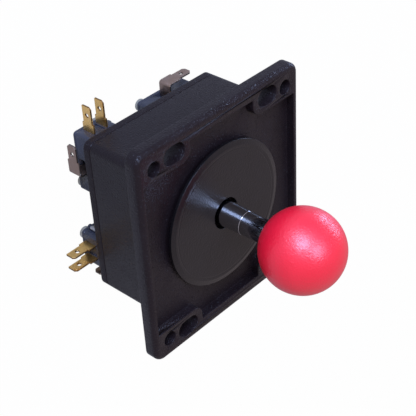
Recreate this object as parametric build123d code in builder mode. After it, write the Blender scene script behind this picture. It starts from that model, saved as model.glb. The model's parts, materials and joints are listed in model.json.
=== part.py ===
from build123d import *
from math import cos, radians, sqrt, tan
import os

os.makedirs("parts", exist_ok=True)

# Arcade joystick lever. The origin is the middle of the mounting face, which is the plane of the
# housing's rim and corner pads, and +Z runs up the lever to the ball. All sizes are in millimetres.

# Clearances
running_gap = 0.05          # radial, between a ball, pin or plunger and what it moves in
fit_gap = 0.05              # between a screw, sleeve or clip and its seat
free_gap = 0.3              # between moving pieces that pass each other

# Flange, with a rim all round and a corner pad for each pair of mounting holes
flange_x = 92.5
flange_y = 100.5
flange_thickness = 6.0
flange_corner = 5.0
flange_edge = 2.0           # round on the front edge
recess_depth = 4.0
recess_edge = 0.4
side_rim = 2.8
end_rim = 6.1
pad_start_x = 18.0
pad_start_y = 36.1
pad_corner = 5.0
slot_spacing_x = 53.5
slot_spacing_y = 85.0
slot_length = 11.4
slot_width = 7.8
hole_spacing_x = 75.4
hole_spacing_y = 83.0
hole_diameter = 6.4
slot_boss = 2.4             # height of the thickened corners behind the flange
slot_boss_inset = 2.8       # of these corners, from the flange's edge

# Box behind the flange
box_x = 73.5
box_y = 72.1
box_shift = 0.85            # of the box's middle along X, from the lever
box_corner = 3.5
box_wall = 2.5
box_floor = 2.5             # thickness of the wall behind the recess
box_back = 38.0             # from the mounting face to the seam
rib_thickness = 2.0
rib_back = 12.0             # from the mounting face
boss_radius = 4.2
boss_x = -5.0               # first of four, turned about the lever
boss_y = 31.3

# Rear plate
plate_thickness = 4.0
plate_edge = 0.8
seam_chamfer = 0.2
window_corner = 4.0
window_gap = 0.35           # left beside the actuator at the end of its travel
switch_pad_height = 1.75
switch_pad_margin = 1.0

# Dust washer, which lies on a ring on the recess floor
washer_radius = 32.15
washer_hole_radius = 6.95
washer_edge = 1.2
washer_bevel = 2.25
washer_bevel_drop = 0.5
washer_below_face = 0.05    # below the mounting face, so that a panel doesn't clamp it
washer_dish = 0.5
ring_inner = 22.0
ring_outer = 27.0

# Lever, which tilts about the centre of the pivot ball, about X and about Y
tilt = 7.0
pivot_z = -7.0
ball_radius = 6.5
ball_flat = 4.2             # from the ball's centre to each of its flats
cup_wall = 3.15
cup_mouth = 4.95
cup_flare = 5.9
trunnion_radius = 1.5
trunnion_root = 1.0         # length inside the ball
trunnion_reach = 8.4        # from the ball's centre
pin_radius = 1.25
pin_inset = 0.6
shaft_radius = 4.0
tail_radius = 3.0
thread_radius = 3.0
shaft_chamfer = 0.5
knob_radius = 17.5
knob_z = 38.8
knob_seat = 0.3             # how far the sleeve enters the knob
knob_thread = 12.0
sleeve_start = -1.9
sleeve_radius = 5.6
sleeve_step_z = 10.5
sleeve_step_radius = 5.25
sleeve_step = 0.2
sleeve_top_radius = 4.95

# Spring seat, centring spring, actuator and retaining clip
seat_hub_radius = 4.1
seat_rim_radius = 8.0
seat_rim = 0.6
seat_foot_radius = 8.1
seat_height = 10.8          # from the pivot to the spring
seat_lip = 0.8
spring_radius = 6.5
spring_wire_radius = 0.65
spring_turns = 5.5
actuator_start = 31.5       # from the pivot
actuator_length = 13.55
actuator_radius = 8.0
actuator_chamfer = 0.8
clip_thickness = 0.7
clip_radius = 5.0
groove_radius = 2.3
shaft_end = 1.5             # what stands out past the clip

# Microswitch. Its length runs from the end near the lever to the end with two terminals, and its
# height from the outer face to the plunger face.
switch_length = 27.8
switch_height = 15.9
switch_thickness = 10.3
switch_cover = 1.5
switch_corner = 1.5
switch_offset = 5.5         # from the lever's centre line to the near end
switch_inner = 14.35        # from the lever's centre line to the plunger face
switch_hole_radius = 1.55
switch_hole_inset = 2.8     # of both screw holes, from the outer face and from the plunger face
switch_edge = 0.3
plunger_radius = 1.5
plunger_place = 8.3
plunger_height = 1.6        # above the plunger face, at rest
plunger_travel = 1.2
plunger_depth = 5.0
arm_gap = 0.1               # between the plunger and the hinged arm
arm_thickness = 0.4
arm_width = 4.0
arm_reach = 9.5             # past the near end of the switch
hinge_place = 24.5
hinge_height = 1.2
eye_radius = 0.95
arm_pin_radius = 0.5
lug_thickness = 1.2
lug_radius = 1.3
lug_gap = 0.15

# Blade terminals
blade_thickness = 0.8
blade_width = 4.75
blade_root_width = 6.35
blade_hole_radius = 0.95
blade_hole_inset = 4.1
blade_chamfer = 1.0
blade_wall = 0.25           # left between an end blade's root and the screw beside it
end_blade_spacing = 6.8
end_blade_length = 11.6
end_blade_shoulder = 3.8
side_blade_place = 12.4
side_blade_stand = 5.5
side_blade_bend = 1.0
side_blade_shoulder = 18.9
side_blade_tip = 26.3
side_blade_sunk = 1.8       # length inside the case, past the pocket
side_pocket = 7.0
side_pocket_depth = 1.5
end_pocket = 4.4
end_pocket_depth = 0.6
pocket_gap = 0.2

# Screws
screw_radius = 1.5
switch_head_radius = 2.7
switch_head = 1.9
switch_screw_length = 12.0
plate_head_radius = 3.0
plate_head = 2.2
plate_screw_length = 14.0
drive_width = 0.6
drive_length = 3.0
drive_depth = 0.9

# Levels and places that follow from the sizes above
washer_top = -washer_below_face
washer_shoulder = washer_top - washer_bevel_drop
washer_under = washer_shoulder - washer_edge
plate_front = -box_back
plate_back = plate_front - plate_thickness
switch_front = plate_back - switch_pad_height
switch_back = switch_front - switch_thickness
switch_middle = switch_front - switch_thickness / 2
cover_front = switch_back + switch_cover
switch_outer = switch_inner + switch_height
first_hole = (switch_hole_inset, switch_hole_inset)
second_hole = (switch_length - switch_hole_inset, switch_height - switch_hole_inset)
end_blade_sunk = switch_hole_inset - switch_hole_radius - blade_wall
cup_radius = ball_radius + running_gap + cup_wall
seat_sphere = cup_radius + free_gap
seat_bottom = pivot_z - seat_height
actuator_top = pivot_z - actuator_start
actuator_bottom = actuator_top - actuator_length
groove_top = actuator_bottom - fit_gap
groove_bottom = groove_top - clip_thickness - fit_gap
tail_end = groove_bottom - shaft_end
knob_seat_z = knob_z - sqrt(knob_radius**2 - sleeve_top_radius**2) + knob_seat
window = 2 * ((pivot_z - plate_back) * tan(radians(tilt)) + actuator_radius / cos(radians(tilt)) + window_gap)


def left_switch(place, height):
    """Point of the left switch, from its place along the length and its height."""
    return (height - switch_outer, switch_offset + place)


def sphere_below(radius, distance):
    """Height of a sphere about the pivot, below its centre: z = pivot - sqrt(radius^2 - distance^2)."""
    return pivot_z - sqrt(radius**2 - distance**2)


# Housing: flange, box, pivot cup, ribs and screw bosses, moulded in one
recess_x = flange_x - 2 * side_rim
recess_y = flange_y - 2 * end_rim
pad_corners = [(sx * recess_x / 2, sy * recess_y / 2) for sx in (-1, 1) for sy in (-1, 1)]
interior_front = -recess_depth - box_floor

with BuildPart() as housing:
    with BuildSketch():
        RectangleRounded(flange_x, flange_y, flange_corner)
    extrude(amount=-flange_thickness)
    fillet(housing.edges().group_by(Axis.Z)[-1], flange_edge)
    with BuildSketch() as recess:
        Rectangle(recess_x, recess_y)
        with Locations(*pad_corners):
            Rectangle(recess_x - 2 * pad_start_x, recess_y - 2 * pad_start_y, mode=Mode.SUBTRACT)
        ends = [v for v in recess.vertices() if abs(v.X) < pad_start_x + 0.01 and abs(v.Y) < pad_start_y + 0.01]
        fillet(ends, pad_corner)
    extrude(amount=-recess_depth, mode=Mode.SUBTRACT)
    fillet(housing.faces().sort_by(Axis.Z)[-1].inner_wires()[0].edges(), recess_edge)
    with BuildSketch(Plane.XY.offset(-recess_depth)):
        with Locations((box_shift, 0)):
            RectangleRounded(box_x, box_y, box_corner)
    extrude(amount=recess_depth - box_back)
    with BuildSketch(Plane.XY.offset(-flange_thickness)):
        corner_x = flange_x - 2 * slot_boss_inset
        corner_y = flange_y - 2 * slot_boss_inset
        RectangleRounded(corner_x, corner_y, flange_corner - slot_boss_inset)
        Rectangle(2 * pad_start_x, flange_y, mode=Mode.SUBTRACT)
        Rectangle(flange_x, box_y - box_wall, mode=Mode.SUBTRACT)
    extrude(amount=-slot_boss)
    with BuildSketch(Plane.XY.offset(interior_front)):
        with Locations((box_shift, 0)):
            RectangleRounded(box_x - 2 * box_wall, box_y - 2 * box_wall, box_corner - box_wall)
    extrude(amount=-box_back - interior_front, mode=Mode.SUBTRACT)
    with BuildSketch(Plane.XY.offset(interior_front)):
        for angle in (45, -45):
            with Locations(Location((0, 0), angle)):
                Rectangle(box_y * sqrt(2) - 3 * box_wall, rib_thickness)
        Circle(cup_radius, mode=Mode.SUBTRACT)
    extrude(amount=-rib_back - interior_front)
    with BuildSketch(Plane.XY.offset(interior_front)):
        with PolarLocations(0, 4):
            with Locations((boss_x, boss_y)):
                Circle(boss_radius)
    extrude(amount=-box_back - interior_front)
    with BuildSketch(Plane.XZ):
        with BuildLine():
            Polyline((0, -recess_depth), (cup_radius, -recess_depth), (cup_radius, pivot_z))
            JernArc((cup_radius, pivot_z), (0, -1), cup_radius, -90)
            Line((0, pivot_z - cup_radius), (0, -recess_depth))
        make_face()
    revolve(axis=Axis.Z)
    with BuildSketch(Plane.XZ):
        well = ball_radius + running_gap
        mouth_z = sphere_below(well, cup_mouth)
        flare_z = sphere_below(cup_radius, cup_flare)
        with BuildLine():
            Polyline((0, 0), (well, 0), (well, pivot_z))
            RadiusArc((well, pivot_z), (cup_mouth, mouth_z), well)
            Polyline((cup_mouth, mouth_z), (cup_flare, flare_z), (cup_flare, pivot_z - cup_radius))
            Polyline((cup_flare, pivot_z - cup_radius), (0, pivot_z - cup_radius), (0, 0))
        make_face()
    revolve(axis=Axis.Z, mode=Mode.SUBTRACT)
    with BuildSketch(Plane.XZ):
        with Locations((0, pivot_z)):
            Circle(trunnion_radius + running_gap)
        with Locations((0, pivot_z / 2)):
            Rectangle(2 * (trunnion_radius + running_gap), -pivot_z)
    extrude(amount=trunnion_reach + free_gap, both=True, mode=Mode.SUBTRACT)
    with BuildSketch(Plane.XY.offset(-recess_depth)):
        Circle(ring_outer)
        Circle(ring_inner, mode=Mode.SUBTRACT)
    extrude(amount=recess_depth + washer_under)
    with BuildSketch():
        with GridLocations(slot_spacing_x, slot_spacing_y, 2, 2):
            SlotOverall(slot_length, slot_width)
        with GridLocations(hole_spacing_x, hole_spacing_y, 2, 2):
            Circle(hole_diameter / 2)
    extrude(amount=-flange_thickness - slot_boss, mode=Mode.SUBTRACT)
    with BuildSketch(Plane.XY.offset(-box_back)):
        with PolarLocations(0, 4):
            with Locations((boss_x, boss_y)):
                Circle(screw_radius + fit_gap)
    extrude(amount=plate_screw_length, mode=Mode.SUBTRACT)
    seam_edges = housing.faces().filter_by(Axis.Z).group_by(Axis.Z)[0].sort_by(SortBy.AREA)[-1]
    chamfer(seam_edges.outer_wire().edges(), seam_chamfer)
housing.part.label = "housing"
export_step(housing.part, "parts/housing.step")

# Rear plate, with a window for the actuator and a raised pad under each switch
pad_length = switch_length - 2 * switch_pad_margin
pad_height = switch_height - 2 * switch_pad_margin

with BuildPart() as rear_plate:
    with BuildSketch(Plane.XY.offset(plate_front)):
        with Locations((box_shift, 0)):
            RectangleRounded(box_x, box_y, box_corner)
    extrude(amount=-plate_thickness)
    chamfer(rear_plate.edges().group_by(Axis.Z)[-1], seam_chamfer)
    fillet(rear_plate.edges().group_by(Axis.Z)[0], plate_edge)
    with BuildSketch(Plane.XY.offset(plate_back)):
        with PolarLocations(0, 4):
            with Locations(left_switch(switch_length / 2, switch_height / 2)):
                RectangleRounded(pad_height, pad_length, switch_corner)
    extrude(amount=-switch_pad_height)
    with BuildSketch(Plane.XY.offset(plate_front)):
        RectangleRounded(window, window, window_corner)
        with PolarLocations(0, 4):
            with Locations((boss_x, boss_y), left_switch(*first_hole), left_switch(*second_hole)):
                Circle(screw_radius + fit_gap)
    extrude(amount=-plate_thickness - switch_pad_height, mode=Mode.SUBTRACT)
rear_plate.part.label = "rear_plate"
export_step(rear_plate.part, "parts/rear_plate.step")

# Dust washer: a shallow dish with a bevelled edge
with BuildPart() as dust_washer:
    with BuildSketch(Plane.XZ):
        with BuildLine():
            Polyline(
                (washer_hole_radius, washer_under),
                (washer_radius, washer_under),
                (washer_radius, washer_shoulder),
                (washer_radius - washer_bevel, washer_top),
                (washer_hole_radius, washer_top - washer_dish),
                close=True,
            )
        make_face()
    revolve(axis=Axis.Z)
dust_washer.part.label = "dust_washer"
export_step(dust_washer.part, "parts/dust_washer.step")

# Pivot ball: its trunnions turn in slots of the cup, and its bore widens from the waist to both flats,
# so that the shaft can rock on the pin
bore_waist = shaft_radius + running_gap
bore_end = bore_waist / cos(radians(tilt)) + ball_flat * tan(radians(tilt)) + running_gap
flat_radius = sqrt(ball_radius**2 - ball_flat**2)

with BuildPart() as pivot_ball:
    with BuildSketch(Plane.XZ.offset(0)):
        with BuildLine():
            Line((bore_waist, pivot_z), (bore_end, pivot_z + ball_flat))
            Line((bore_end, pivot_z + ball_flat), (flat_radius, pivot_z + ball_flat))
            ThreePointArc(
                (flat_radius, pivot_z + ball_flat),
                (ball_radius, pivot_z),
                (flat_radius, pivot_z - ball_flat),
            )
            Line((flat_radius, pivot_z - ball_flat), (bore_end, pivot_z - ball_flat))
            Line((bore_end, pivot_z - ball_flat), (bore_waist, pivot_z))
        make_face()
    revolve(axis=Axis.Z)
    for side in (1, -1):
        with BuildSketch(Plane.XZ.offset(side * (ball_radius - trunnion_root))):
            with Locations((0, pivot_z)):
                Circle(trunnion_radius)
        extrude(amount=side * (trunnion_reach - ball_radius + trunnion_root))
    with BuildSketch(Plane.YZ):
        with Locations((0, pivot_z)):
            Circle(pin_radius)
    extrude(amount=ball_radius, both=True, mode=Mode.SUBTRACT)
pivot_ball.part.label = "pivot_ball"
export_step(pivot_ball.part, "parts/pivot_ball.step")

with BuildPart() as pivot_pin:
    with BuildSketch(Plane.YZ):
        with Locations((0, pivot_z)):
            Circle(pin_radius)
    extrude(amount=ball_radius - pin_inset, both=True)
pivot_pin.part.label = "pivot_pin"
export_step(pivot_pin.part, "parts/pivot_pin.step")

# Lever shaft: threaded into the knob above, stepped down for the actuator and grooved for the clip
thread_end = knob_seat_z + knob_thread

with BuildPart() as lever_shaft:
    with BuildSketch(Plane.XZ):
        with BuildLine():
            Polyline(
                (0, tail_end),
                (tail_radius - shaft_chamfer, tail_end),
                (tail_radius, tail_end + shaft_chamfer),
                (tail_radius, groove_bottom),
                (groove_radius, groove_bottom),
                (groove_radius, groove_top),
                (tail_radius, groove_top),
                (tail_radius, actuator_top + fit_gap),
                (shaft_radius, actuator_top + fit_gap),
                (shaft_radius, knob_seat_z),
                (thread_radius, knob_seat_z),
                (thread_radius, thread_end - shaft_chamfer),
                (thread_radius - shaft_chamfer, thread_end),
                (0, thread_end),
                close=True,
            )
        make_face()
    revolve(axis=Axis.Z)
    with BuildSketch(Plane.YZ):
        with Locations((0, pivot_z)):
            Circle(pin_radius + running_gap)
    extrude(amount=shaft_radius, both=True, mode=Mode.SUBTRACT)
lever_shaft.part.label = "lever_shaft"
export_step(lever_shaft.part, "parts/lever_shaft.step")

# Lever sleeve: it reaches through the dust washer, and clears its hole at full tilt
with BuildPart() as lever_sleeve:
    with BuildSketch(Plane.XZ):
        with BuildLine():
            Polyline(
                (shaft_radius + fit_gap, sleeve_start),
                (sleeve_radius, sleeve_start),
                (sleeve_step_radius, sleeve_step_z),
                (sleeve_step_radius - sleeve_step, sleeve_step_z + sleeve_step),
                (sleeve_top_radius, knob_seat_z),
                (shaft_radius + fit_gap, knob_seat_z),
                close=True,
            )
        make_face()
    revolve(axis=Axis.Z)
lever_sleeve.part.label = "lever_sleeve"
export_step(lever_sleeve.part, "parts/lever_sleeve.step")

# Ball knob, with a seat for the sleeve and a hole for the shaft's thread
with BuildPart() as ball_knob:
    with Locations((0, 0, knob_z)):
        Sphere(knob_radius)
    with BuildSketch(Plane.XY.offset(knob_seat_z)):
        Circle(sleeve_top_radius + fit_gap)
    extrude(amount=-knob_radius, mode=Mode.SUBTRACT)
    with BuildSketch(Plane.XY.offset(knob_seat_z)):
        Circle(thread_radius + fit_gap)
    extrude(amount=knob_thread + fit_gap, mode=Mode.SUBTRACT)
ball_knob.part.label = "ball_knob"
export_step(ball_knob.part, "parts/ball_knob.step")

# Spring seat: its hollow follows the outside of the pivot cup, and its lip holds the spring
rim_z = sphere_below(seat_sphere, seat_rim_radius)
spring_outer = spring_radius + spring_wire_radius

with BuildPart() as spring_seat:
    with BuildSketch(Plane.XZ):
        with BuildLine():
            hub_z = sphere_below(seat_sphere, seat_hub_radius)
            RadiusArc((seat_hub_radius, hub_z), (seat_rim_radius, rim_z), -seat_sphere)
            Polyline(
                (seat_rim_radius, rim_z),
                (seat_rim_radius + seat_rim, rim_z - seat_rim),
                (seat_foot_radius, seat_bottom - seat_lip),
                (spring_outer + fit_gap, seat_bottom - seat_lip),
                (spring_outer + fit_gap, seat_bottom),
                (seat_hub_radius, seat_bottom),
                (seat_hub_radius, hub_z),
            )
        make_face()
    revolve(axis=Axis.Z)
spring_seat.part.label = "spring_seat"
export_step(spring_seat.part, "parts/spring_seat.step")

# Centring spring
spring_start = actuator_top + spring_wire_radius + fit_gap
spring_height = seat_bottom - spring_wire_radius - fit_gap - spring_start

with BuildPart() as centring_spring:
    with BuildLine() as coil:
        Helix(spring_height / spring_turns, spring_height, spring_radius, center=(0, 0, spring_start))
    with BuildSketch(Plane(origin=coil.edge() @ 0, z_dir=coil.edge() % 0)):
        Circle(spring_wire_radius)
    sweep(is_frenet=True)
centring_spring.part.label = "centring_spring"
export_step(centring_spring.part, "parts/centring_spring.step")

# Actuator: a collar on the shaft's tail that pushes the switch arms
with BuildPart() as actuator:
    with BuildSketch(Plane.XY.offset(actuator_top)):
        Circle(actuator_radius)
        Circle(tail_radius + fit_gap, mode=Mode.SUBTRACT)
    extrude(amount=-actuator_length)
    chamfer(actuator.edges().filter_by(GeomType.CIRCLE).sort_by(SortBy.RADIUS)[-2:], actuator_chamfer)
actuator.part.label = "actuator"
export_step(actuator.part, "parts/actuator.step")

# Retaining clip: an open ring that snaps into the groove
with BuildPart() as retaining_clip:
    with BuildSketch(Plane.XY.offset(groove_top - fit_gap)):
        Circle(clip_radius)
        Circle(groove_radius + fit_gap, mode=Mode.SUBTRACT)
        with Locations((clip_radius / 2, 0)):
            Rectangle(clip_radius, 2 * groove_radius, mode=Mode.SUBTRACT)
    extrude(amount=-clip_thickness)
retaining_clip.part.label = "retaining_clip"
export_step(retaining_clip.part, "parts/retaining_clip.step")

# Microswitch case of the left switch, with lugs for the arm and pockets for the terminals
case_middle = left_switch(switch_length / 2, switch_height / 2)
hinge_x, hinge_y = left_switch(hinge_place, switch_height + hinge_height)
end_blade_x = (case_middle[0] - end_blade_spacing / 2, case_middle[0] + end_blade_spacing / 2)
end_y = switch_offset + switch_length
side_blade_y = switch_offset + side_blade_place
lug_start = arm_width / 2 + lug_gap

with BuildPart() as switch_case:
    with BuildSketch(Plane.XY.offset(switch_front)):
        with Locations(case_middle):
            RectangleRounded(switch_height, switch_length, switch_corner)
    extrude(amount=cover_front - switch_front)
    fillet(switch_case.edges().group_by(Axis.Z)[-1], switch_edge)
    for side in (1, -1):
        with BuildSketch(Plane.XY.offset(switch_middle + side * lug_start)):
            with Locations((hinge_x, hinge_y)):
                Circle(lug_radius)
            with Locations((hinge_x - hinge_height, hinge_y)):
                Rectangle(2 * hinge_height, 2 * lug_radius)
            with Locations((hinge_x, hinge_y)):
                Circle(arm_pin_radius, mode=Mode.SUBTRACT)
        extrude(amount=side * lug_thickness)
    with BuildSketch(Plane.XY.offset(switch_front)):
        with Locations(left_switch(*first_hole), left_switch(*second_hole)):
            Circle(switch_hole_radius)
    extrude(amount=cover_front - switch_front, mode=Mode.SUBTRACT)
    plunger_y = switch_offset + plunger_place
    with BuildSketch(Plane((-switch_inner, plunger_y, switch_middle), z_dir=(-1, 0, 0))):
        Circle(plunger_radius + running_gap)
    extrude(amount=plunger_depth + plunger_travel + free_gap, mode=Mode.SUBTRACT)
    side_face = Plane((-switch_outer, side_blade_y, switch_middle), x_dir=(0, 1, 0), z_dir=(1, 0, 0))
    with BuildSketch(side_face):
        Rectangle(side_pocket, blade_root_width + 2 * pocket_gap)
    extrude(amount=side_pocket_depth, mode=Mode.SUBTRACT)
    with BuildSketch(side_face):
        Rectangle(blade_thickness, blade_root_width)
    extrude(amount=side_pocket_depth + side_blade_sunk, mode=Mode.SUBTRACT)
    end_face = Plane((case_middle[0], end_y, switch_middle), x_dir=(1, 0, 0), z_dir=(0, -1, 0))
    with BuildSketch(end_face):
        Rectangle(end_pocket, blade_root_width)
    extrude(amount=end_pocket_depth, mode=Mode.SUBTRACT)
    with BuildSketch(end_face):
        with GridLocations(end_blade_spacing, 0, 2, 1):
            Rectangle(blade_thickness, blade_root_width)
    extrude(amount=end_blade_sunk, mode=Mode.SUBTRACT)

with BuildPart() as switch_cover_plate:
    with BuildSketch(Plane.XY.offset(switch_back)):
        with Locations(case_middle):
            RectangleRounded(switch_height, switch_length, switch_corner)
    extrude(amount=switch_cover)
    fillet(switch_cover_plate.edges().group_by(Axis.Z)[0], switch_edge)
    with BuildSketch(Plane.XY.offset(switch_back)):
        with Locations(left_switch(*first_hole), left_switch(*second_hole)):
            Circle(switch_hole_radius)
    extrude(amount=switch_cover, mode=Mode.SUBTRACT)

with BuildPart() as plunger:
    tip_x = plunger_height - switch_inner
    with BuildSketch(Plane((tip_x, plunger_y, switch_middle), z_dir=(-1, 0, 0))):
        Circle(plunger_radius)
    extrude(amount=plunger_depth + plunger_height)
    fillet(plunger.edges().group_by(Axis.X)[-1], plunger_radius * 0.6)

# Hinged arm: a strip with a rolled eye, resting just off the plunger and reaching past the lever
arm_rise = plunger_height + arm_gap + arm_thickness / 2 - hinge_height
arm_slope = arm_rise / (hinge_place - plunger_place)
arm_run = hinge_place + arm_reach
arm_tip = (hinge_x + arm_run * arm_slope, hinge_y - arm_run)

with BuildPart() as switch_arm:
    with BuildSketch(Plane.XY.offset(switch_middle)):
        with BuildLine():
            Line((hinge_x, hinge_y), arm_tip)
        trace(line_width=arm_thickness)
        with Locations((hinge_x, hinge_y)):
            Circle(eye_radius)
            Circle(arm_pin_radius + running_gap, mode=Mode.SUBTRACT)
    extrude(amount=arm_width / 2, both=True)

# Blade terminals: two in line with the case, and a common one bent along its outer face
def end_blade(x):
    """Straight terminal in the far end of the left switch, at the given x."""
    with BuildPart() as blade:
        with BuildSketch(Plane((x, end_y, switch_middle), x_dir=(0, 1, 0), z_dir=(1, 0, 0))) as outline:
            with Locations((end_blade_length / 2, 0)):
                Rectangle(end_blade_length, blade_width)
            chamfer(outline.vertices().group_by(Axis.Y)[-1], blade_chamfer)
            with Locations(((end_blade_shoulder - end_blade_sunk) / 2, 0)):
                Rectangle(end_blade_shoulder + end_blade_sunk, blade_root_width)
            with Locations((end_blade_length - blade_hole_inset, 0)):
                Circle(blade_hole_radius, mode=Mode.SUBTRACT)
        extrude(amount=blade_thickness / 2, both=True)
    return blade.part


with BuildPart() as common_blade:
    foot_x = -switch_outer + side_pocket_depth + side_blade_sunk
    stand_x = -switch_outer - side_blade_stand
    tip_y = switch_offset + side_blade_tip
    with BuildSketch(Plane.XY.offset(switch_middle)):
        with BuildLine():
            FilletPolyline(
                (foot_x, side_blade_y), (stand_x, side_blade_y), (stand_x, tip_y), radius=side_blade_bend
            )
        trace(line_width=blade_thickness)
    extrude(amount=blade_root_width / 2, both=True)
    with BuildSketch(Plane((stand_x - blade_thickness, 0, switch_middle), x_dir=(0, 1, 0), z_dir=(1, 0, 0))):
        root_y = side_blade_y - blade_thickness
        shoulder_y = switch_offset + side_blade_shoulder
        with BuildLine():
            Polyline(
                (root_y, -blade_root_width / 2),
                (shoulder_y, -blade_root_width / 2),
                (shoulder_y, -blade_width / 2),
                (tip_y - blade_chamfer, -blade_width / 2),
                (tip_y, blade_chamfer - blade_width / 2),
                (tip_y, blade_width / 2 - blade_chamfer),
                (tip_y - blade_chamfer, blade_width / 2),
                (shoulder_y, blade_width / 2),
                (shoulder_y, blade_root_width / 2),
                (root_y, blade_root_width / 2),
                close=True,
            )
        make_face()
        with Locations((tip_y - blade_hole_inset, 0)):
            Circle(blade_hole_radius, mode=Mode.SUBTRACT)
    extrude(amount=foot_x - stand_x + blade_thickness, mode=Mode.INTERSECT)

# The four switches stand in a pinwheel, each a quarter turn from the last
switch_turns = {"left": 0, "back": -90, "right": 180, "front": 90}
switch_pieces = {
    "switch_case": switch_case.part,
    "switch_cover": switch_cover_plate.part,
    "switch_plunger": plunger.part,
    "switch_arm": switch_arm.part,
    "open_terminal": end_blade(end_blade_x[0]),
    "closed_terminal": end_blade(end_blade_x[1]),
    "common_terminal": common_blade.part,
}
for side, turn in switch_turns.items():
    for piece, shape in switch_pieces.items():
        with BuildPart() as placed:
            add(shape, rotation=(0, 0, turn))
        placed.part.label = f"{side}_{piece}"
        export_step(placed.part, f"parts/{side}_{piece}.step")

# Pins of the four arms
with BuildPart() as arm_pins:
    with BuildSketch(Plane.XY.offset(switch_middle)):
        with PolarLocations(0, 4):
            with Locations((hinge_x, hinge_y)):
                Circle(arm_pin_radius)
    extrude(amount=lug_start + lug_thickness, both=True)
arm_pins.part.label = "arm_pins"
export_step(arm_pins.part, "parts/arm_pins.step")


def cross_screws(places, head_z, head_radius, head_height, length):
    """Pan-head screws at places that repeat in each quarter, heads behind head_z, shanks towards +Z."""
    with BuildPart() as screws:
        with BuildSketch(Plane.XY.offset(head_z)):
            with PolarLocations(0, 4):
                with Locations(*places):
                    Circle(head_radius)
        extrude(amount=-head_height)
        fillet(screws.edges().group_by(Axis.Z)[0], head_height * 0.4)
        with BuildSketch(Plane.XY.offset(head_z)):
            with PolarLocations(0, 4):
                with Locations(*places):
                    Circle(screw_radius)
        extrude(amount=length)
        with BuildSketch(Plane.XY.offset(head_z - head_height)):
            with PolarLocations(0, 4):
                with Locations(*places):
                    Rectangle(drive_length, drive_width)
                    Rectangle(drive_width, drive_length)
        extrude(amount=drive_depth, mode=Mode.SUBTRACT)
    return screws.part


switch_screws = cross_screws(
    [left_switch(*first_hole), left_switch(*second_hole)],
    switch_back, switch_head_radius, switch_head, switch_screw_length,
)
switch_screws.label = "switch_screws"
export_step(switch_screws, "parts/switch_screws.step")

plate_screws = cross_screws([(boss_x, boss_y)], plate_back, plate_head_radius, plate_head, plate_screw_length)
plate_screws.label = "plate_screws"
export_step(plate_screws, "parts/plate_screws.step")
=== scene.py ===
# Looks of the arcade joystick lever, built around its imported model. Lengths are in metres,
# and those in the pieces' dictionaries in millimetres.
import bmesh
import bpy
import json
from math import cos, radians, sin

import numpy as np
from mathutils import Matrix, Vector

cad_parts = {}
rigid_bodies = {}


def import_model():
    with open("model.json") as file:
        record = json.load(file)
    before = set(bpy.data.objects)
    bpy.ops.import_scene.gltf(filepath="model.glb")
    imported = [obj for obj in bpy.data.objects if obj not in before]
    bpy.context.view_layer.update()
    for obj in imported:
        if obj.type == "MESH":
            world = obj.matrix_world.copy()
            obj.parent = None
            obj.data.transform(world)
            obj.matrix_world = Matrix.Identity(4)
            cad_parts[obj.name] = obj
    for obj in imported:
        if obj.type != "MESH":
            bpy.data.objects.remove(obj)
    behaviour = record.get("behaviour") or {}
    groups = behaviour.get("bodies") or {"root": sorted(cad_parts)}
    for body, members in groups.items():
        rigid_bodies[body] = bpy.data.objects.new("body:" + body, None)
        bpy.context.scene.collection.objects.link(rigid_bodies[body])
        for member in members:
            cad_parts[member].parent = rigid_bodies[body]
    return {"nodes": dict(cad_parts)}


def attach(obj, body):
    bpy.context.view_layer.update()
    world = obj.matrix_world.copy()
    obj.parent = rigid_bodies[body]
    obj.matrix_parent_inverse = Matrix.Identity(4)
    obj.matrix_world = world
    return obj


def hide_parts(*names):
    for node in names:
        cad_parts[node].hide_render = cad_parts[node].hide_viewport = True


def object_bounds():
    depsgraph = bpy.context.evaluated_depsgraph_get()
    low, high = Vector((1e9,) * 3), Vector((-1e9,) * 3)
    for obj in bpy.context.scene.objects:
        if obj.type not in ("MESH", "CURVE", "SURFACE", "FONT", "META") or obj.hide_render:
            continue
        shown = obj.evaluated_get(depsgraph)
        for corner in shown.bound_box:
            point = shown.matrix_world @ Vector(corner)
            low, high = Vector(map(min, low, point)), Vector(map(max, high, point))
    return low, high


for item in list(bpy.data.objects):
    bpy.data.objects.remove(item)
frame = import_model()
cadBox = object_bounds()
scene = bpy.context.scene
mm = 0.001
print("frame loaded")


# Colours, nodes and materials

def linear(hexColour):
    # sRGB to linear light: c / 12.92 up to 0.04045, and ((c + 0.055) / 1.055) ^ 2.4 above
    c = np.array([int(hexColour[i:i + 2], 16) for i in (1, 3, 5)]) / 255
    return (*np.where(c <= 0.04045, c / 12.92, ((c + 0.055) / 1.055) ** 2.4), 1.0)


def addNode(tree, kind, settings=None, links=None):
    # settings fill the node's sockets or its own properties, links join its sockets to others
    node = tree.nodes.new(kind)
    for key, value in (settings or {}).items():
        if isinstance(key, int) or key in node.inputs:
            node.inputs[key].default_value = value
        else:
            setattr(node, key, value)
    for key, socket in (links or {}).items():
        tree.links.new(socket, node.inputs[key])
    return node


def newMaterial(name, surface):
    material = bpy.data.materials.new(name)
    material.use_nodes = True
    shader = material.node_tree.nodes["Principled BSDF"]
    for key, value in surface.items():
        shader.inputs[key].default_value = value
    return material, material.node_tree, shader


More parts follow.
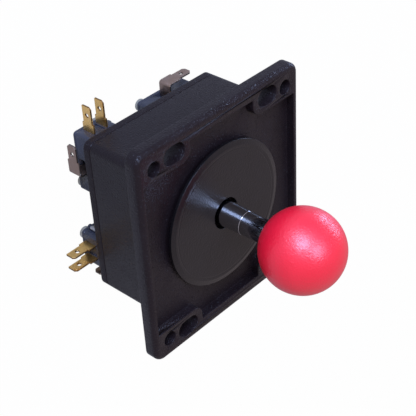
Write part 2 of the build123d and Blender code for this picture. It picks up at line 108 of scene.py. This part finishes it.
def grainedMaterial(name, surface, patchNoise, finish):
    # Colour and gloss run from their first value to their second with a soft noise n, by
    # (n - 0.3) / 0.4 held between 0 and 1. A fine grain breaks the light up: height = depth * noise.
    # Specks are the peaks of another noise p: height = rise * (p - 0.6) / 0.2, held in the same way.
    material, tree, shader = newMaterial(name, surface)
    place = addNode(tree, "ShaderNodeTexCoord").outputs["Object"]
    patches = addNode(
        tree, "ShaderNodeTexNoise",
        {"Scale": 1 / finish["patch"], **patchNoise}, {"Vector": place}).outputs["Fac"]
    share = addNode(
        tree, "ShaderNodeMapRange",
        {"From Min": 0.3, "From Max": 0.7, "To Min": 0, "To Max": 1}, {"Value": patches})
    first, second = finish["colours"]
    colour = addNode(
        tree, "ShaderNodeMix",
        {"data_type": "RGBA", 6: linear(first), 7: linear(second)}, {0: share.outputs["Result"]})
    tree.links.new(colour.outputs[2], shader.inputs["Base Color"])
    first, second = finish["gloss"]
    gloss = addNode(
        tree, "ShaderNodeMapRange",
        {"From Min": 0.3, "From Max": 0.7, "To Min": first, "To Max": second}, {"Value": patches})
    tree.links.new(gloss.outputs["Result"], shader.inputs["Roughness"])
    grain = addNode(
        tree, "ShaderNodeTexNoise", {"Scale": 1 / finish["grain"], "Detail": 1.0}, {"Vector": place})
    bump = addNode(
        tree, "ShaderNodeBump",
        {"Strength": 1.0, "Distance": finish["depth"]}, {"Height": grain.outputs["Fac"]})
    if "speck" in finish:
        peaks = addNode(
            tree, "ShaderNodeTexNoise", {"Scale": 1 / finish["speck"], "Detail": 0.0}, {"Vector": place})
        height = addNode(
            tree, "ShaderNodeMapRange",
            {"From Min": 0.6, "From Max": 0.8, "To Min": 0, "To Max": 1}, {"Value": peaks.outputs["Fac"]})
        bump = addNode(
            tree, "ShaderNodeBump", {"Strength": 1.0, "Distance": finish["rise"]},
            {"Height": height.outputs["Result"], "Normal": bump.outputs["Normal"]})
    tree.links.new(bump.outputs["Normal"], shader.inputs["Normal"])
    return material


def mouldedPlastic(name, finish):
    return grainedMaterial(
        name, {"Specular IOR Level": finish["specular"], "IOR": 1.5},
        {"Detail": 2.0, "Roughness": 0.5}, finish)


def sheetMetal(name, finish):
    # its patches are tarnish, with more small detail than those of a plastic
    return grainedMaterial(name, {"Metallic": 1.0}, {"Detail": 3.0, "Roughness": 0.6}, finish)


# The mould was spark eroded: a dull, dark surface that glitters in fine points where light grazes it.
# Its pits, about 0.1 mm wide, are drawn at 0.6 and 0.8 mm, or they wouldn't show.
housingAbs = mouldedPlastic("spark eroded ABS", {
    "colours": ("#161012", "#1a1416"), "gloss": (0.3, 0.38), "specular": 0.15,
    "patch": 9 * mm, "grain": 0.6 * mm, "depth": 0.16 * mm, "speck": 0.8 * mm, "rise": 0.16 * mm})
# Moulded smooth: a broad satin sheen on black. Fine scuffs, under 0.2 mm wide, are drawn at 0.6 mm,
# so that they break up what it mirrors.
washerAcetal = mouldedPlastic("moulded acetal, black", {
    "colours": ("#0c0a0b", "#100e0f"), "gloss": (0.28, 0.32), "specular": 0.28,
    "patch": 6 * mm, "grain": 0.6 * mm, "depth": 0.1 * mm})
# Moulded and tumbled: a strong even red with a soft, slightly pebbled highlight. The pebbles are about
# 1 mm wide, as the highlight shows, and the tumbling marks of 0.2 mm are drawn at 0.7 mm.
knobPhenolic = mouldedPlastic("moulded phenolic, red", {
    "colours": ("#d20926", "#d80d2a"), "gloss": (0.36, 0.42), "specular": 0.8,
    "patch": 14 * mm, "grain": 0.7 * mm, "depth": 0.08 * mm, "speck": 1.2 * mm, "rise": 0.04 * mm})
# Moulded in a polished mould: dark blue grey with clear highlights. Its filler, about 0.1 mm, is drawn
# at 0.6 mm and very shallow.
switchResin = mouldedPlastic("moulded phenolic, blue black", {
    "colours": ("#272931", "#2d2f39"), "gloss": (0.24, 0.32), "specular": 0.5,
    "patch": 5 * mm, "grain": 0.6 * mm, "depth": 0.03 * mm})
# Moulded, with a waxy half gloss. Its texture of under 0.1 mm is drawn at 0.4 mm.
pivotAcetal = mouldedPlastic("moulded acetal, dark grey", {
    "colours": ("#2c2c2e", "#343436"), "gloss": (0.38, 0.46), "specular": 0.5,
    "patch": 5 * mm, "grain": 0.4 * mm, "depth": 0.01 * mm})
# Moulded, small and smooth: a dark red with a soft gloss. Its texture of under 0.1 mm is drawn at 0.3 mm.
plungerAcetal = mouldedPlastic("moulded acetal, dark red", {
    "colours": ("#8f1216", "#9c171b"), "gloss": (0.3, 0.38), "specular": 0.5,
    "patch": 3 * mm, "grain": 0.3 * mm, "depth": 0.006 * mm})

# Turned and polished: nearly a mirror, so that it takes its darks and lights from what is round it.
# Polishing marks are finer than 0.05 mm, and are drawn at 0.5 mm and a micron deep.
sleeveSteel = sheetMetal("polished steel", {
    "colours": ("#c2c4c8", "#cccdd1"), "gloss": (0.1, 0.13), "patch": 4 * mm,
    "grain": 0.5 * mm, "depth": 0.001 * mm})
# Centreless ground: bright but blurred. Grinding marks of about 0.05 mm are drawn at 0.3 mm.
groundSteel = sheetMetal("ground steel", {
    "colours": ("#b4b5b8", "#c2c3c6"), "gloss": (0.28, 0.38), "patch": 3 * mm,
    "grain": 0.3 * mm, "depth": 0.006 * mm})
# Barrel plated: a pale, slightly yellow, uneven shine. The crystals, under 0.1 mm, are drawn at 0.3 mm.
zincPlate = sheetMetal("zinc plated steel", {
    "colours": ("#b9b9ae", "#c9cac6"), "gloss": (0.25, 0.4), "patch": 1.5 * mm,
    "grain": 0.3 * mm, "depth": 0.006 * mm})
# Rolled and stamped: a warm yellow with a satin shine. Rolling lines of 0.05 mm are drawn at 0.3 mm.
stampedBrass = sheetMetal("stamped brass", {
    "colours": ("#f2c577", "#f9cf80"), "gloss": (0.25, 0.36), "patch": 2.5 * mm,
    "grain": 0.3 * mm, "depth": 0.006 * mm})
# Where the press sheared it: torn, darker and duller than the face. Tears of 0.1 mm are drawn at 0.25 mm.
shearedBrass = sheetMetal("sheared brass edge", {
    "colours": ("#7d5f35", "#957245"), "gloss": (0.4, 0.55), "patch": 0.6 * mm,
    "grain": 0.25 * mm, "depth": 0.02 * mm})
# Hot tinned: a brownish grey that shines softly. Its grain of under 0.1 mm is drawn at 0.3 mm.
tinPlate = sheetMetal("tin plated brass", {
    "colours": ("#9a8373", "#a69082"), "gloss": (0.28, 0.4), "patch": 2.5 * mm,
    "grain": 0.3 * mm, "depth": 0.006 * mm})
# The sheared edge of the tinned blade: dull grey, torn like that of the brass and drawn as coarse.
shearedTin = sheetMetal("sheared tinned edge", {
    "colours": ("#6f655d", "#857b71"), "gloss": (0.4, 0.55), "patch": 0.6 * mm,
    "grain": 0.25 * mm, "depth": 0.02 * mm})
print("materials made")


# Surfaces worked out on grids

def gridMesh(name, points, closedRows=False):
    # points is an array of rows x columns x 3: each row runs round the piece and closes on itself,
    # and face (i, j) joins the points (i, j), (i, j + 1), (i + 1, j + 1) and (i + 1, j)
    rows, columns = points.shape[:2]
    index = np.arange(rows * columns).reshape(rows, columns)
    right = np.roll(index, -1, axis=1)
    below, belowRight = np.roll(index, -1, axis=0), np.roll(right, -1, axis=0)
    quads = np.stack((index, right, belowRight, below), axis=-1)
    if not closedRows:
        quads = quads[:-1]
    mesh = bpy.data.meshes.new(name)
    mesh.from_pydata(points.reshape(-1, 3), [], quads.reshape(-1, 4))
    shape = bmesh.new()
    shape.from_mesh(mesh)
    bmesh.ops.remove_doubles(shape, verts=shape.verts, dist=1e-7)
    bmesh.ops.recalc_face_normals(shape, faces=shape.faces)
    shape.to_mesh(mesh)
    shape.free()
    return smoothPiece(name, mesh)


def smoothPiece(name, mesh):
    mesh.polygons.foreach_set("use_smooth", np.ones(len(mesh.polygons), dtype=bool))
    piece = bpy.data.objects.new(name, mesh)
    scene.collection.objects.link(piece)
    return piece


def softCorners(corners, radius, closed, steps=5):
    # each corner P becomes the curve (1-t)^2 A + 2t(1-t) P + t^2 B, A and B lying radius from it,
    # with one more point just beyond each end, which keeps the shading of the straight parts flat
    mostOfSide = 0.45                    # share of a side that a curve may take up
    beyond, beyondShare = 0.03, 0.04     # the extra point's distance, and its limit as a share of the side
    corners = np.array(corners, dtype=float)
    toBefore = np.roll(corners, 1, axis=0) - corners
    toAfter = np.roll(corners, -1, axis=0) - corners
    lengthBefore = np.linalg.norm(toBefore, axis=1, keepdims=True)
    lengthAfter = np.linalg.norm(toAfter, axis=1, keepdims=True)
    start = corners + toBefore / lengthBefore * np.minimum(radius, lengthBefore * mostOfSide)
    end = corners + toAfter / lengthAfter * np.minimum(radius, lengthAfter * mostOfSide)
    t = np.linspace(0, 1, steps)[None, :, None]
    curve = (1 - t) ** 2 * start[:, None] + 2 * t * (1 - t) * corners[:, None] + t ** 2 * end[:, None]
    before = start + toBefore / lengthBefore * np.minimum(beyond, lengthBefore * beyondShare)
    after = end + toAfter / lengthAfter * np.minimum(beyond, lengthAfter * beyondShare)
    curve = np.concatenate((before[:, None], curve, after[:, None]), axis=1)
    if closed:
        return curve.reshape(-1, 2)
    return np.vstack((corners[:1], curve[1:-1].reshape(-1, 2), corners[-1:]))


def turned(name, profile, around, closed):
    # a profile of (radius, height) turned about Z: (r cos a, r sin a, z)
    angle = np.linspace(0, 2 * np.pi, around, endpoint=False)
    radius, height = profile[:, :1], profile[:, 1:]
    points = np.stack(
        (radius * np.cos(angle), radius * np.sin(angle), height + 0 * angle), axis=-1)
    return gridMesh(name, points, closed)


def finish(piece, material, body, slot, *nodes):
    piece.data.materials.clear()
    piece.data.materials.append(material)
    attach(piece, body)
    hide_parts(*nodes)


# Ball knob: a sphere, (r sin p, centre + r cos p) at the angle p from its top, open below for the
# sleeve's seat and the shaft's bore
knob = {
    "centre": 38.8, "radius": 17.5, "around": 192, "along": 110,
    "seatRadius": 5.0, "seatTop": 22.317, "boreRadius": 3.05, "boreTop": 34.37, "lip": 0.35,
}
rimAngle = np.arcsin((knob["seatRadius"] + knob["lip"]) / knob["radius"])
polar = np.linspace(0, np.pi - rimAngle, knob["along"])
sphere = np.stack(
    (knob["radius"] * np.sin(polar), knob["centre"] + knob["radius"] * np.cos(polar)), axis=-1)
inside = softCorners(
    [sphere[-1], (knob["seatRadius"], sphere[-1, 1]), (knob["seatRadius"], knob["seatTop"]),
     (knob["boreRadius"], knob["seatTop"]), (knob["boreRadius"], knob["boreTop"]), (0, knob["boreTop"])],
    knob["lip"], False)
ball = turned("ball_top", np.vstack((sphere, inside[1:])) * mm, knob["around"], False)
finish(ball, knobPhenolic, "lever", "knob_plastic", "ball_knob")
print("ball knob made")

# Lever sleeve: a slightly tapered tube with a step
sleeve = {
    "bore": 4.05, "start": -1.9, "radius": 5.6, "stepStart": 10.5, "stepRadius": 5.25,
    "step": 0.06, "topRadius": 4.95, "top": 22.317, "soft": 0.12, "around": 128,
}
sleeveLine = softCorners(
    [(sleeve["bore"], sleeve["start"]), (sleeve["radius"], sleeve["start"]),
     (sleeve["stepRadius"], sleeve["stepStart"]),
     (sleeve["stepRadius"] - sleeve["step"], sleeve["stepStart"] + sleeve["step"]),
     (sleeve["topRadius"], sleeve["top"]), (sleeve["bore"], sleeve["top"])],
    sleeve["soft"], True)
tube = turned("polished_sleeve", sleeveLine * mm, sleeve["around"], True)
finish(tube, sleeveSteel, "lever", "sleeve_steel", "lever_sleeve")
print("sleeve made")

# Dust washer: a shallow dish with a bevelled edge and a faint ring groove
washer = {
    "hole": 6.95, "radius": 32.15, "top": -0.05, "shoulder": -0.55, "under": -1.75, "bevel": 2.25,
    "ring": 28.6, "ringHalf": 0.25, "ringEdge": 0.02, "ringDepth": 0.09,
    "dish": 0.5, "soft": 0.15, "around": 256,
}
washerLine = softCorners(
    [(washer["hole"], washer["under"]), (washer["radius"], washer["under"]),
     (washer["radius"], washer["shoulder"]), (washer["radius"] - washer["bevel"], washer["top"]),
     (washer["ring"] + washer["ringHalf"], washer["top"] - washer["ringEdge"]),
     (washer["ring"], washer["top"] - washer["ringDepth"]),
     (washer["ring"] - washer["ringHalf"], washer["top"] - washer["ringEdge"]),
     (washer["hole"], washer["top"] - washer["dish"])],
    washer["soft"], True)
disc = turned("dished_washer", washerLine * mm, washer["around"], True)
finish(disc, washerAcetal, "base", "washer_plastic", "dust_washer")
print("washer made")


# Pieces whose shape comes from the CAD node, with their sharp edges softened

def softened(name, node, edge, segments=2, sharp=30):
    mesh = frame["nodes"][node].data.copy()
    mesh.name = name
    shape = bmesh.new()
    shape.from_mesh(mesh)
    bmesh.ops.remove_doubles(shape, verts=shape.verts, dist=1e-6)
    shape.to_mesh(mesh)
    shape.free()
    piece = smoothPiece(name, mesh)
    bevel = piece.modifiers.new("soft edges", "BEVEL")
    bevel.width = edge
    bevel.segments = segments
    bevel.limit_method = "ANGLE"
    bevel.angle_limit = radians(sharp)
    bevel.use_clamp_overlap = False
    bevel.harden_normals = True
    return piece


mouldings = {
    "housing": {"name": "flanged_box", "edge": 0.2, "material": housingAbs},
    "rear_plate": {"name": "rear_closing_plate", "edge": 0.1, "material": housingAbs},
}
for node, look in mouldings.items():
    piece = softened(look["name"], node, look["edge"] * mm)
    finish(piece, look["material"], "base", "housing_plastic", node)
print("housing and rear plate made")

sides = ("left", "back", "right", "front")
switchLook = {
    "mouldingEdge": 0.15, "bladeEdge": 0.06,
    "tip": 0.05,       # how near the blade's end a face is that the press sheared
    "leaning": 0.3,    # share of a face's normal that points out of an edge before it counts as one
}
bladeMetals = {
    "open": ("brass", stampedBrass, shearedBrass), "closed": ("brass", stampedBrass, shearedBrass),
    "common": ("tinned_brass", tinPlate, shearedTin),
}
for side in sides:
    for part in ("case", "cover"):
        moulding = softened(
            f"{side}_{part}_moulding", f"{side}_switch_{part}", switchLook["mouldingEdge"] * mm)
        finish(moulding, switchResin, "base", "switch_plastic", f"{side}_switch_{part}")
    lengthwise = 1 if side in ("left", "right") else 0     # the axis that its blades point along
    for kind, (slot, faceMetal, edgeMetal) in bladeMetals.items():
        blade = softened(
            f"{side}_{kind}_blade", f"{side}_{kind}_terminal", switchLook["bladeEdge"] * mm)
        faces = blade.data.polygons
        normals, middles = np.empty(len(faces) * 3), np.empty(len(faces) * 3)
        faces.foreach_get("normal", normals)
        faces.foreach_get("center", middles)
        normals, middles = np.abs(normals.reshape(-1, 3)), np.abs(middles.reshape(-1, 3))
        sheared = normals[:, 2] > switchLook["leaning"]
        sheared |= middles[:, lengthwise] > middles[:, lengthwise].max() - switchLook["tip"] * mm
        if kind != "common":
            sheared |= normals[:, lengthwise] > switchLook["leaning"]
        finish(blade, faceMetal, "base", slot, f"{side}_{kind}_terminal")
        blade.data.materials.append(edgeMetal)
        faces.foreach_set("material_index", sheared.astype(np.int32))
print("switches made")

kept = {
    "pivot_ball": pivotAcetal, "spring_seat": pivotAcetal, "actuator": pivotAcetal,
    "pivot_pin": groundSteel, "lever_shaft": groundSteel, "centring_spring": groundSteel,
    "retaining_clip": groundSteel, "arm_pins": groundSteel,
    "switch_screws": zincPlate, "plate_screws": zincPlate,
}
for side in sides:
    kept[f"{side}_switch_plunger"] = plungerAcetal
    kept[f"{side}_switch_arm"] = groundSteel
for node, material in kept.items():
    frame["nodes"][node].material_slots[0].material = material
print("small pieces dressed")

# Floor, lights, world and camera
floorLook = {"half": 4.0, "colour": "#a4a4a4", "white": 0.985, "glossWhite": 0.18}
lowest = cadBox[0][2]
half = floorLook["half"]
floorMesh = bpy.data.meshes.new("pale floor")
floorMesh.from_pydata(
    [(-half, -half, lowest), (half, -half, lowest), (half, half, lowest), (-half, half, lowest)],
    [], [(0, 1, 2, 3)])
floor = bpy.data.objects.new("pale_floor", floorMesh)
scene.collection.objects.link(floor)


def shareOfWhite(tree, direct, mirrored):
    # direct for a camera ray, plus mirrored for a glossy or transmission ray, and else none
    rays = addNode(tree, "ShaderNodeLightPath").outputs
    mirror = addNode(
        tree, "ShaderNodeMath", {"operation": "MAXIMUM"},
        {0: rays["Is Glossy Ray"], 1: rays["Is Transmission Ray"]}).outputs[0]
    mirror = addNode(
        tree, "ShaderNodeMath", {"operation": "MULTIPLY", 1: mirrored}, {0: mirror}).outputs[0]
    return addNode(
        tree, "ShaderNodeMath", {"operation": "MULTIPLY_ADD", 1: direct},
        {0: rays["Is Camera Ray"], 2: mirror}).outputs[0]


# Pale paper, uncoated: flat white to the camera, matt to the lamps, so that only the shadow shows
floorPaper, tree, shader = newMaterial(
    "pale paper", {"Base Color": linear(floorLook["colour"]), "Roughness": 0.9, "Specular IOR Level": 0.1})
white = shareOfWhite(tree, floorLook["white"], floorLook["glossWhite"])
glow = addNode(tree, "ShaderNodeEmission", {"Color": (1, 1, 1, 1), "Strength": 1.0})
mix = addNode(
    tree, "ShaderNodeMixShader", None, {0: white, 1: shader.outputs[0], 2: glow.outputs[0]})
tree.links.new(mix.outputs[0], tree.nodes["Material Output"].inputs["Surface"])
floorMesh.materials.append(floorPaper)

room = {"colour": (0.62, 0.53, 0.56, 1), "strength": 1.0}
world = bpy.data.worlds.new("studio")
scene.world = world
world.use_nodes = True
tree = world.node_tree
dim = tree.nodes["Background"]
dim.inputs["Color"].default_value = room["colour"]
dim.inputs["Strength"].default_value = room["strength"]
bright = addNode(tree, "ShaderNodeBackground", {"Color": (1, 1, 1, 1), "Strength": 1.0})
isCamera = addNode(tree, "ShaderNodeLightPath").outputs["Is Camera Ray"]
mix = addNode(
    tree, "ShaderNodeMixShader", None, {0: isCamera, 1: dim.outputs[0], 2: bright.outputs[0]})
tree.links.new(mix.outputs[0], tree.nodes["World Output"].inputs["Surface"])

# Each lamp stands where its highlight on the ball or the plastic says, and is turned to the aim
aim = Vector((0, 0, knob["centre"] * mm))
lampColour = (0.48, 0.62, 1.0)
lamps = {
    "upper window, left": {
        "azimuth": 118, "elevation": 22, "distance": 1.0, "size": (0.4, 0.34), "radiance": 33},
    "upper window, low": {
        "azimuth": 112, "elevation": -2, "distance": 1.0, "size": (0.3, 0.3), "radiance": 16},
    "upper window, right": {
        "azimuth": 105, "elevation": 60, "distance": 1.0, "size": (0.4, 0.34), "radiance": 18},
    "side window, low": {
        "azimuth": 21, "elevation": -4, "distance": 0.5, "size": (0.11, 0.11), "radiance": 20},
    "side window, high": {
        "azimuth": 13, "elevation": 14, "distance": 0.5, "size": (0.11, 0.11), "radiance": 16},
}
for name, lamp in lamps.items():
    light = bpy.data.lights.new(name, "AREA")
    light.shape = "RECTANGLE"
    light.size, light.size_y = lamp["size"]
    light.energy = lamp["radiance"] * np.pi * light.size * light.size_y   # an area lamp gives W / (pi A)
    light.color = lampColour
    az, el = radians(lamp["azimuth"]), radians(lamp["elevation"])
    toward = Vector((cos(el) * cos(az), cos(el) * sin(az), sin(el)))
    stand = bpy.data.objects.new(name, light)
    stand.matrix_world = Matrix.Translation(aim + toward * lamp["distance"]) @ toward.to_track_quat(
        "Z", "Y").to_matrix().to_4x4()
    stand.visible_camera = False
    scene.collection.objects.link(stand)

view = {
    "place": (-0.256723, 0.257394, 0.240491), "right": (0.67146, -0.05128, 0.73927),
    "up": (0.46189, 0.80907, -0.36340), "back": (-0.57948, 0.58547, 0.56694), "lens": 92.95,
}
camera = bpy.data.objects.new("camera", bpy.data.cameras.new("camera"))
camera.data.lens = view["lens"]
camera.data.sensor_width = 36
camera.data.clip_start = 0.01
axes = Matrix((view["right"], view["up"], view["back"])).transposed().to_4x4()
camera.matrix_world = Matrix.Translation(view["place"]) @ axes
scene.collection.objects.link(camera)
scene.camera = camera
scene.view_settings.view_transform = "Standard"
print("stage set")
